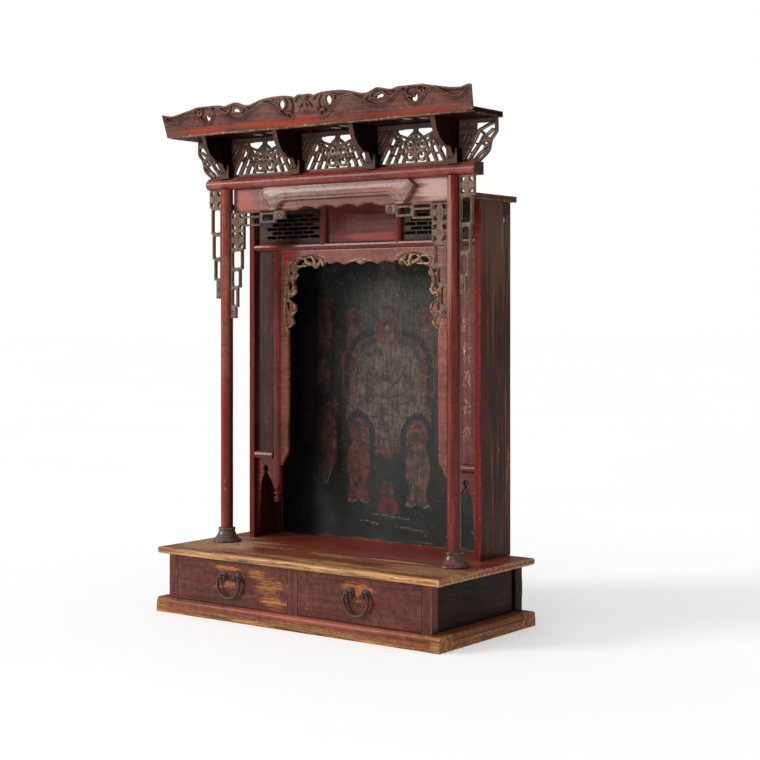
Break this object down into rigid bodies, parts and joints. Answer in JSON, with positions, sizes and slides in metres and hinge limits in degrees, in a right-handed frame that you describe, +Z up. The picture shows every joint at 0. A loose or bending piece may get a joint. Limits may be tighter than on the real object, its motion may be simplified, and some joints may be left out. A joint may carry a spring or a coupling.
{
  "type": "household altar cabinet",
  "caption": "Carved and lacquered altar cabinet: a low base with drawers, a tall open niche, and a porch of round posts under a pierced frieze, roof board and waved crest.",
  "frame": {"origin": "centre of the bounding box on the floor plane, under the plinth", "axes": "+X to the right seen from the front, +Y to the back, +Z up; the front faces -Y"},
  "size_m": [0.95, 0.409, 1.28],
  "materials": {
    "brown_red_lacquer": "dull brown-red lacquer with worn patches",
    "carved_worn_wood": "carved wood with rubbed lacquer",
    "dark_brown_lacquer": "dark brown lacquer, dull",
    "dark_polished_wood": "dark polished wood",
    "iron": "blackened iron",
    "painted_panel": "blue-black paint with a faded picture",
    "red_lacquer": "worn red lacquer over wood",
    "worn_timber": "lacquer worn to bare timber, satin"
  },
  "bodies": {
    "cabinet": {"apron_board": "red_lacquer", "apron_plaque": "carved_worn_wood", "base_back": "dark_brown_lacquer", "base_side_left": "dark_brown_lacquer", "base_side_right": "dark_brown_lacquer", "beam": "red_lacquer", "box_apron_carved": "red_lacquer", "box_back_painted": "painted_panel", "box_batten": "worn_timber", "box_side_left": "dark_brown_lacquer", "box_side_right": "dark_brown_lacquer", "box_top": "worn_timber", "centre_panel": "red_lacquer", "crest": "red_lacquer", "fret_inner_left": "carved_worn_wood", "fret_inner_right": "carved_worn_wood", "fret_outer_left": "carved_worn_wood", "fret_outer_right": "carved_worn_wood", "frieze_panel_left": "carved_worn_wood", "frieze_panel_middle": "carved_worn_wood", "frieze_panel_right": "carved_worn_wood", "frieze_wing_left": "carved_worn_wood", "frieze_wing_right": "carved_worn_wood", "hanging_post_left": "red_lacquer", "hanging_post_right": "red_lacquer", "lattice_left": "brown_red_lacquer", "lattice_right": "brown_red_lacquer", "narrow_panel_left": "brown_red_lacquer", "narrow_panel_right": "brown_red_lacquer", "partition_with_middle_stile": "brown_red_lacquer", "plinth_rail_back": "red_lacquer", "plinth_rail_front": "red_lacquer", "plinth_rail_left": "worn_timber", "plinth_rail_right": "worn_timber", "post_base_left": "dark_polished_wood", "post_base_right": "dark_polished_wood", "post_left": "red_lacquer", "post_right": "red_lacquer", "roof_board": "red_lacquer", "roof_bracket_1": "dark_brown_lacquer", "roof_bracket_2": "dark_brown_lacquer", "roof_bracket_3": "dark_brown_lacquer", "roof_bracket_4": "dark_brown_lacquer", "small_rail_with_keyhole_left": "red_lacquer", "small_rail_with_keyhole_right": "red_lacquer", "stile_back_left": "dark_brown_lacquer", "stile_back_right": "dark_brown_lacquer", "stile_front_left": "brown_red_lacquer", "stile_front_right": "brown_red_lacquer", "table_board": "worn_timber", "upper_frame": "red_lacquer"},
    "drawer_left": {"drawer_left": "brown_red_lacquer", "pull_left_rosette_inner": "iron", "pull_left_rosette_outer": "iron"},
    "drawer_right": {"drawer_right": "brown_red_lacquer", "pull_right_rosette_inner": "iron", "pull_right_rosette_outer": "iron"},
    "bail_left": {"pull_left_bail": "iron"},
    "bail_right": {"pull_right_bail": "iron"}
  },
  "joints": [
    {"name": "drawer_left_slide", "type": "slide", "parent": "cabinet", "child": "drawer_left", "axis": [0, -1, 0], "range_m": [0, 0.24]},
    {"name": "drawer_right_slide", "type": "slide", "parent": "cabinet", "child": "drawer_right", "axis": [0, -1, 0], "range_m": [0, 0.24]},
    {"name": "bail_left_hinge", "type": "hinge", "parent": "drawer_left", "child": "bail_left", "pos_m": [-0.19612, -0.1983, 0.107], "axis": [-1, 0, 0], "range_deg": [0, 95]},
    {"name": "bail_right_hinge", "type": "hinge", "parent": "drawer_right", "child": "bail_right", "pos_m": [0.19612, -0.1983, 0.107], "axis": [-1, 0, 0], "range_deg": [0, 95]}
  ]
}
